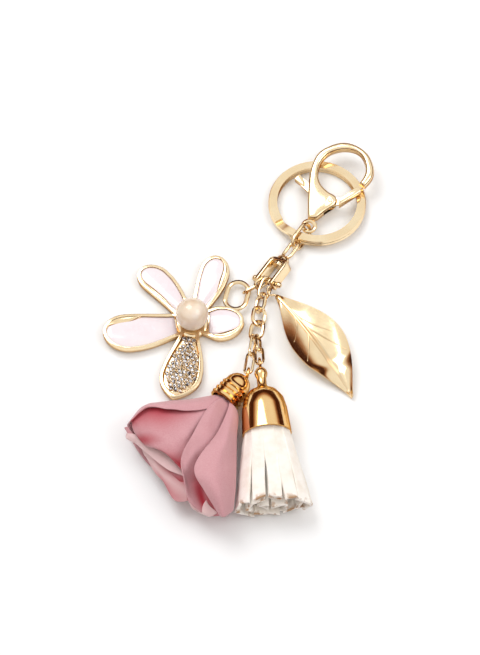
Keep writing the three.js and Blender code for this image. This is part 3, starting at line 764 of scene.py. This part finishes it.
rose_petal(
    "rose_petal_pale",
    [
        [(29.5, 4.5, 3.5), (29.5, -2.5, 4.0), (30.0, -8.5, 4.0), (33.5, -12.5, 4.0), (35.5, -16.0, 3.5)],
        [(31.5, 6.0, 3.5), (32.5, 0.5, 4.0), (33.5, -5.0, 4.0), (34.5, -10.0, 4.0), (36.5, -15.0, 2.5)],
        [(35.5, 8.0, 3.5), (37.0, 3.0, 3.5), (37.0, -2.0, 3.0), (36.5, -7.0, 2.5), (35.5, -12.0, 2.0)],
    ],
    ROSE_PALE,
    hold=False,
)
rose_petal(
    "rose_petal_lower",
    [
        [(34.5, 7.5, 2.5), (36.0, 2.5, 2.5), (36.0, -3.0, 2.0), (35.5, -7.5, 1.5), (35.0, -11.0, 1.0)],
        [(37.5, 10.0, 1.5), (38.0, 4.5, 1.5), (38.0, -0.5, 1.0), (37.0, -4.5, 0.5), (36.5, -8.0, 0.0)],
        [(41.0, 12.5, 1.0), (43.0, 9.0, 0.5), (40.0, 2.5, 0.0), (39.0, -2.0, -0.5), (35.0, -10.0, -1.0)],
    ],
    ROSE_PALE,
    folds=[(0.2, 0.0, 0.5, 1.0), (0.9, 0.4, 0.4, 0.7)],
    hold=False,
)
# This petal is mostly painted crimson shade, deep inside the bloom.
rose_petal(
    "rose_petal_inner",
    [
        [(34.0, 8.0, 3.0), (36.0, 5.5, 3.0), (37.0, 2.0, 1.5)],
        [(36.5, 11.0, 1.5), (38.0, 8.0, 1.0), (39.0, 4.5, 0.5)],
        [(40.0, 14.5, 1.0), (41.0, 11.5, 0.5), (41.0, 8.0, 0.0)],
    ],
    ROSE_OUTER,
    folds=[(0.5, 0.5, 0.8, 0.9)],
    hold=False,
)
rose_petal(
    "rose_petal_tip",
    [
        [(22.0, 9.0, 2.0), (34.0, 16.0, 3.0), (38.5, 18.5, 4.0), (39.5, 23.5, 4.5)],
        [(24.0, 8.0, 1.5), (36.0, 14.0, 2.5), (41.0, 18.5, 3.0), (41.0, 22.5, 3.5)],
        [(26.0, 6.5, 1.0), (37.0, 10.5, 2.0), (42.0, 15.0, 2.0), (41.5, 21.0, 2.5)],
    ],
    ROSE_PALE,
)
for side, name in ((-1, "rose_petal_under_left"), (1, "rose_petal_under_right")):
    rose_petal(
        name,
        [
            [(7, -3 * side, -3), (15, -6 * side, -4.2), (24, -8 * side, -4.8), (35, -6 * side, -4.5)],
            [(7.5, side, -3.2), (16, 2 * side, -4.8), (26, 3 * side, -5), (37, 6 * side, -4)],
            [(7.5, 3.5 * side, -2.5), (15, 9 * side, -4.2), (23, 15 * side, -4.5), (32, 20 * side, -3.6)],
        ],
        ROSE_OUTER,
        folds=[(0.2, 1.0, 0.4, 0.6)],
    )

# ---- suede tassel: strips cut in one piece of suede that is rolled into the bell cap ------
BELL = axes_at((6.6, -18.65, 7.9), -85)
STRIP_WIDTH = 4.1
STRIP_THICKNESS = 1.0
RIM = 21.5
FRINGE_START = 10
FRINGE_END = 45.2


def suede_strip(angle, ring, length, lean):
    """One strip: leaves the cap close to its neighbours and spreads towards its cut end."""
    rows = 40
    # The section's inner face and right edge; the outer face and left edge are their mirror.
    inner = ((-1, -1), (-0.4, -1), (0.4, -1), (1, -1), (1, 0))
    section = inner + tuple((-side, -out) for side, out in inner)
    points, cut = [], []
    for i in range(rows + 1):
        t = i / rows
        x = FRINGE_START + (length - FRINGE_START) * t
        beyond_rim = max((x - RIM) / (length - RIM), 0)
        wide = 5.2 + 1.5 * smooth_step(FRINGE_START, RIM, x) + 4.6 * beyond_rim ** 0.95
        tall = 5.0 + 1.0 * smooth_step(0, 0.5, t)
        here = angle + lean * t
        centre = Vector((x, ring * wide * math.cos(here), ring * tall * math.sin(here) - 0.026 * x * t))
        outward = Vector((0, math.cos(here) / wide, math.sin(here) / tall)).normalized()
        sideways = Vector((1, 0, 0)).cross(outward)
        bow = 0.25 * math.sin(5 * t + 9 * angle)
        centre += outward * bow * t + sideways * 0.3 * noise.noise(Vector((0.12 * x, 5 * angle, ring)))
        skew = 0.5 * math.sin(7 * angle) if i == rows else 0
        for side, out in section:
            corner = centre + sideways * side * STRIP_WIDTH / 2 + outward * out * STRIP_THICKNESS / 2
            points.append(corner + Vector((skew * side, 0, 0)))
            cut.append(smooth_step(0.95, 1, t))
    count = len(section)
    faces = grid_faces(rows + 1, count, closed=True)
    faces.append(tuple(reversed(range(count))))
    faces.append(tuple(range(rows * count, (rows + 1) * count)))
    return points, faces, cut


def make_fringe():
    fringe, ends = Shape(), []
    layers = ((13, 1.0, 0.1), (10, 0.72, 0.3), (5, 0.36, 0.0))
    for count, ring, start in layers:
        for k in range(count):
            angle = start + 2 * math.pi * k / count
            length = FRINGE_END + 0.8 * math.sin(11 * angle + ring)
            points, faces, cut = suede_strip(angle, ring, length, random.uniform(-0.05, 0.05))
            fringe.add(points, faces)
            ends += cut
    piece = add_piece("suede_fringe", fringe.points, fringe.faces, "bell", SUEDE, BELL)
    cut = piece.data.attributes.new("cut", "FLOAT", "POINT")
    cut.data.foreach_set("value", ends)
    edge = piece.modifiers.new("soft_edges", "BEVEL")
    edge.width = 0.0002
    edge.segments = 2
    edge.limit_method = "ANGLE"
    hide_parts("suede_skirt")


make_fringe()

# ---- floor, light and camera -----------------------------------------------------------------
def make_floor():
    side, steps = 1.6, 16
    marks = [side * (i / steps - 0.5) for i in range(steps + 1)]
    points = [Vector((x, y, 0)) for x in marks for y in marks]
    mesh = bpy.data.meshes.new("floor")
    mesh.from_pydata(points, [], grid_faces(steps + 1, steps + 1))
    mesh.materials.append(floor_paint())
    floor = bpy.data.objects.new("floor", mesh)
    bpy.context.scene.collection.objects.link(floor)


def area_light(name, place, target, size, power):
    light = bpy.data.lights.new(name, "AREA")
    light.size = size
    light.energy = power
    lamp = bpy.data.objects.new(name, light)
    lamp.location = place
    lamp.rotation_mode = "QUATERNION"
    lamp.rotation_quaternion = (Vector(target) - Vector(place)).to_track_quat("-Z", "Y")
    bpy.context.scene.collection.objects.link(lamp)


def studio_world():
    """A bright dome over a dark warm band near the horizon, which the polished metal mirrors."""
    world = bpy.data.worlds.new("studio")
    world.use_nodes = True
    tree = world.node_tree
    background = tree.nodes["Background"]
    direction = tree.nodes.new("ShaderNodeTexCoord")
    parts = tree.nodes.new("ShaderNodeSeparateXYZ")
    tree.links.new(direction.outputs["Generated"], parts.inputs["Vector"])
    ramp = tree.nodes.new("ShaderNodeValToRGB")
    stops = (
        (0.0, (0.10, 0.03, 0.015)),
        (0.34, (0.05, 0.014, 0.006)),
        (0.44, (0.40, 0.17, 0.08)),
        (0.56, (0.95, 0.88, 0.80)),
        (0.66, (1, 1, 1)),
    )
    fill_ramp(ramp, stops)
    tree.links.new(parts.outputs["Z"], ramp.inputs["Fac"])
    seen = tree.nodes.new("ShaderNodeLightPath")
    mixer = tree.nodes.new("ShaderNodeMix")
    mixer.data_type = "RGBA"
    mixer.inputs[7].default_value = (1, 1, 1, 1)
    tree.links.new(seen.outputs["Is Camera Ray"], mixer.inputs[0])
    tree.links.new(ramp.outputs["Color"], mixer.inputs[6])
    tree.links.new(mixer.outputs[2], background.inputs["Color"])
    background.inputs["Strength"].default_value = 0.95
    bpy.context.scene.world = world


CAMERA_ELEVATION = math.radians(63)
CAMERA_DISTANCE = 0.9
CAMERA_TARGET = Vector((0, 1.75 * MM, 0))
FRAME_HEIGHT = 0.2106


def make_camera():
    camera_data = bpy.data.cameras.new("camera")
    camera_data.sensor_width = 36
    camera_data.lens = camera_data.sensor_width * CAMERA_DISTANCE / FRAME_HEIGHT
    camera_data.clip_start = 0.01
    camera_data.clip_end = 10
    camera = bpy.data.objects.new("camera", camera_data)
    back = Vector((0, -math.cos(CAMERA_ELEVATION), math.sin(CAMERA_ELEVATION)))
    camera.location = CAMERA_TARGET + back * CAMERA_DISTANCE
    camera.rotation_mode = "QUATERNION"
    camera.rotation_quaternion = (-back).to_track_quat("-Z", "Y")
    bpy.context.scene.collection.objects.link(camera)
    bpy.context.scene.camera = camera


make_floor()
studio_world()
area_light("key", (-0.3, 0.35, 0.75), (0, 0, 0), 0.5, 3.0)
area_light("fill", (0.5, -0.1, 0.6), (0, 0, 0), 0.4, 1.1)
make_camera()
bpy.context.scene.view_settings.view_transform = "Standard"
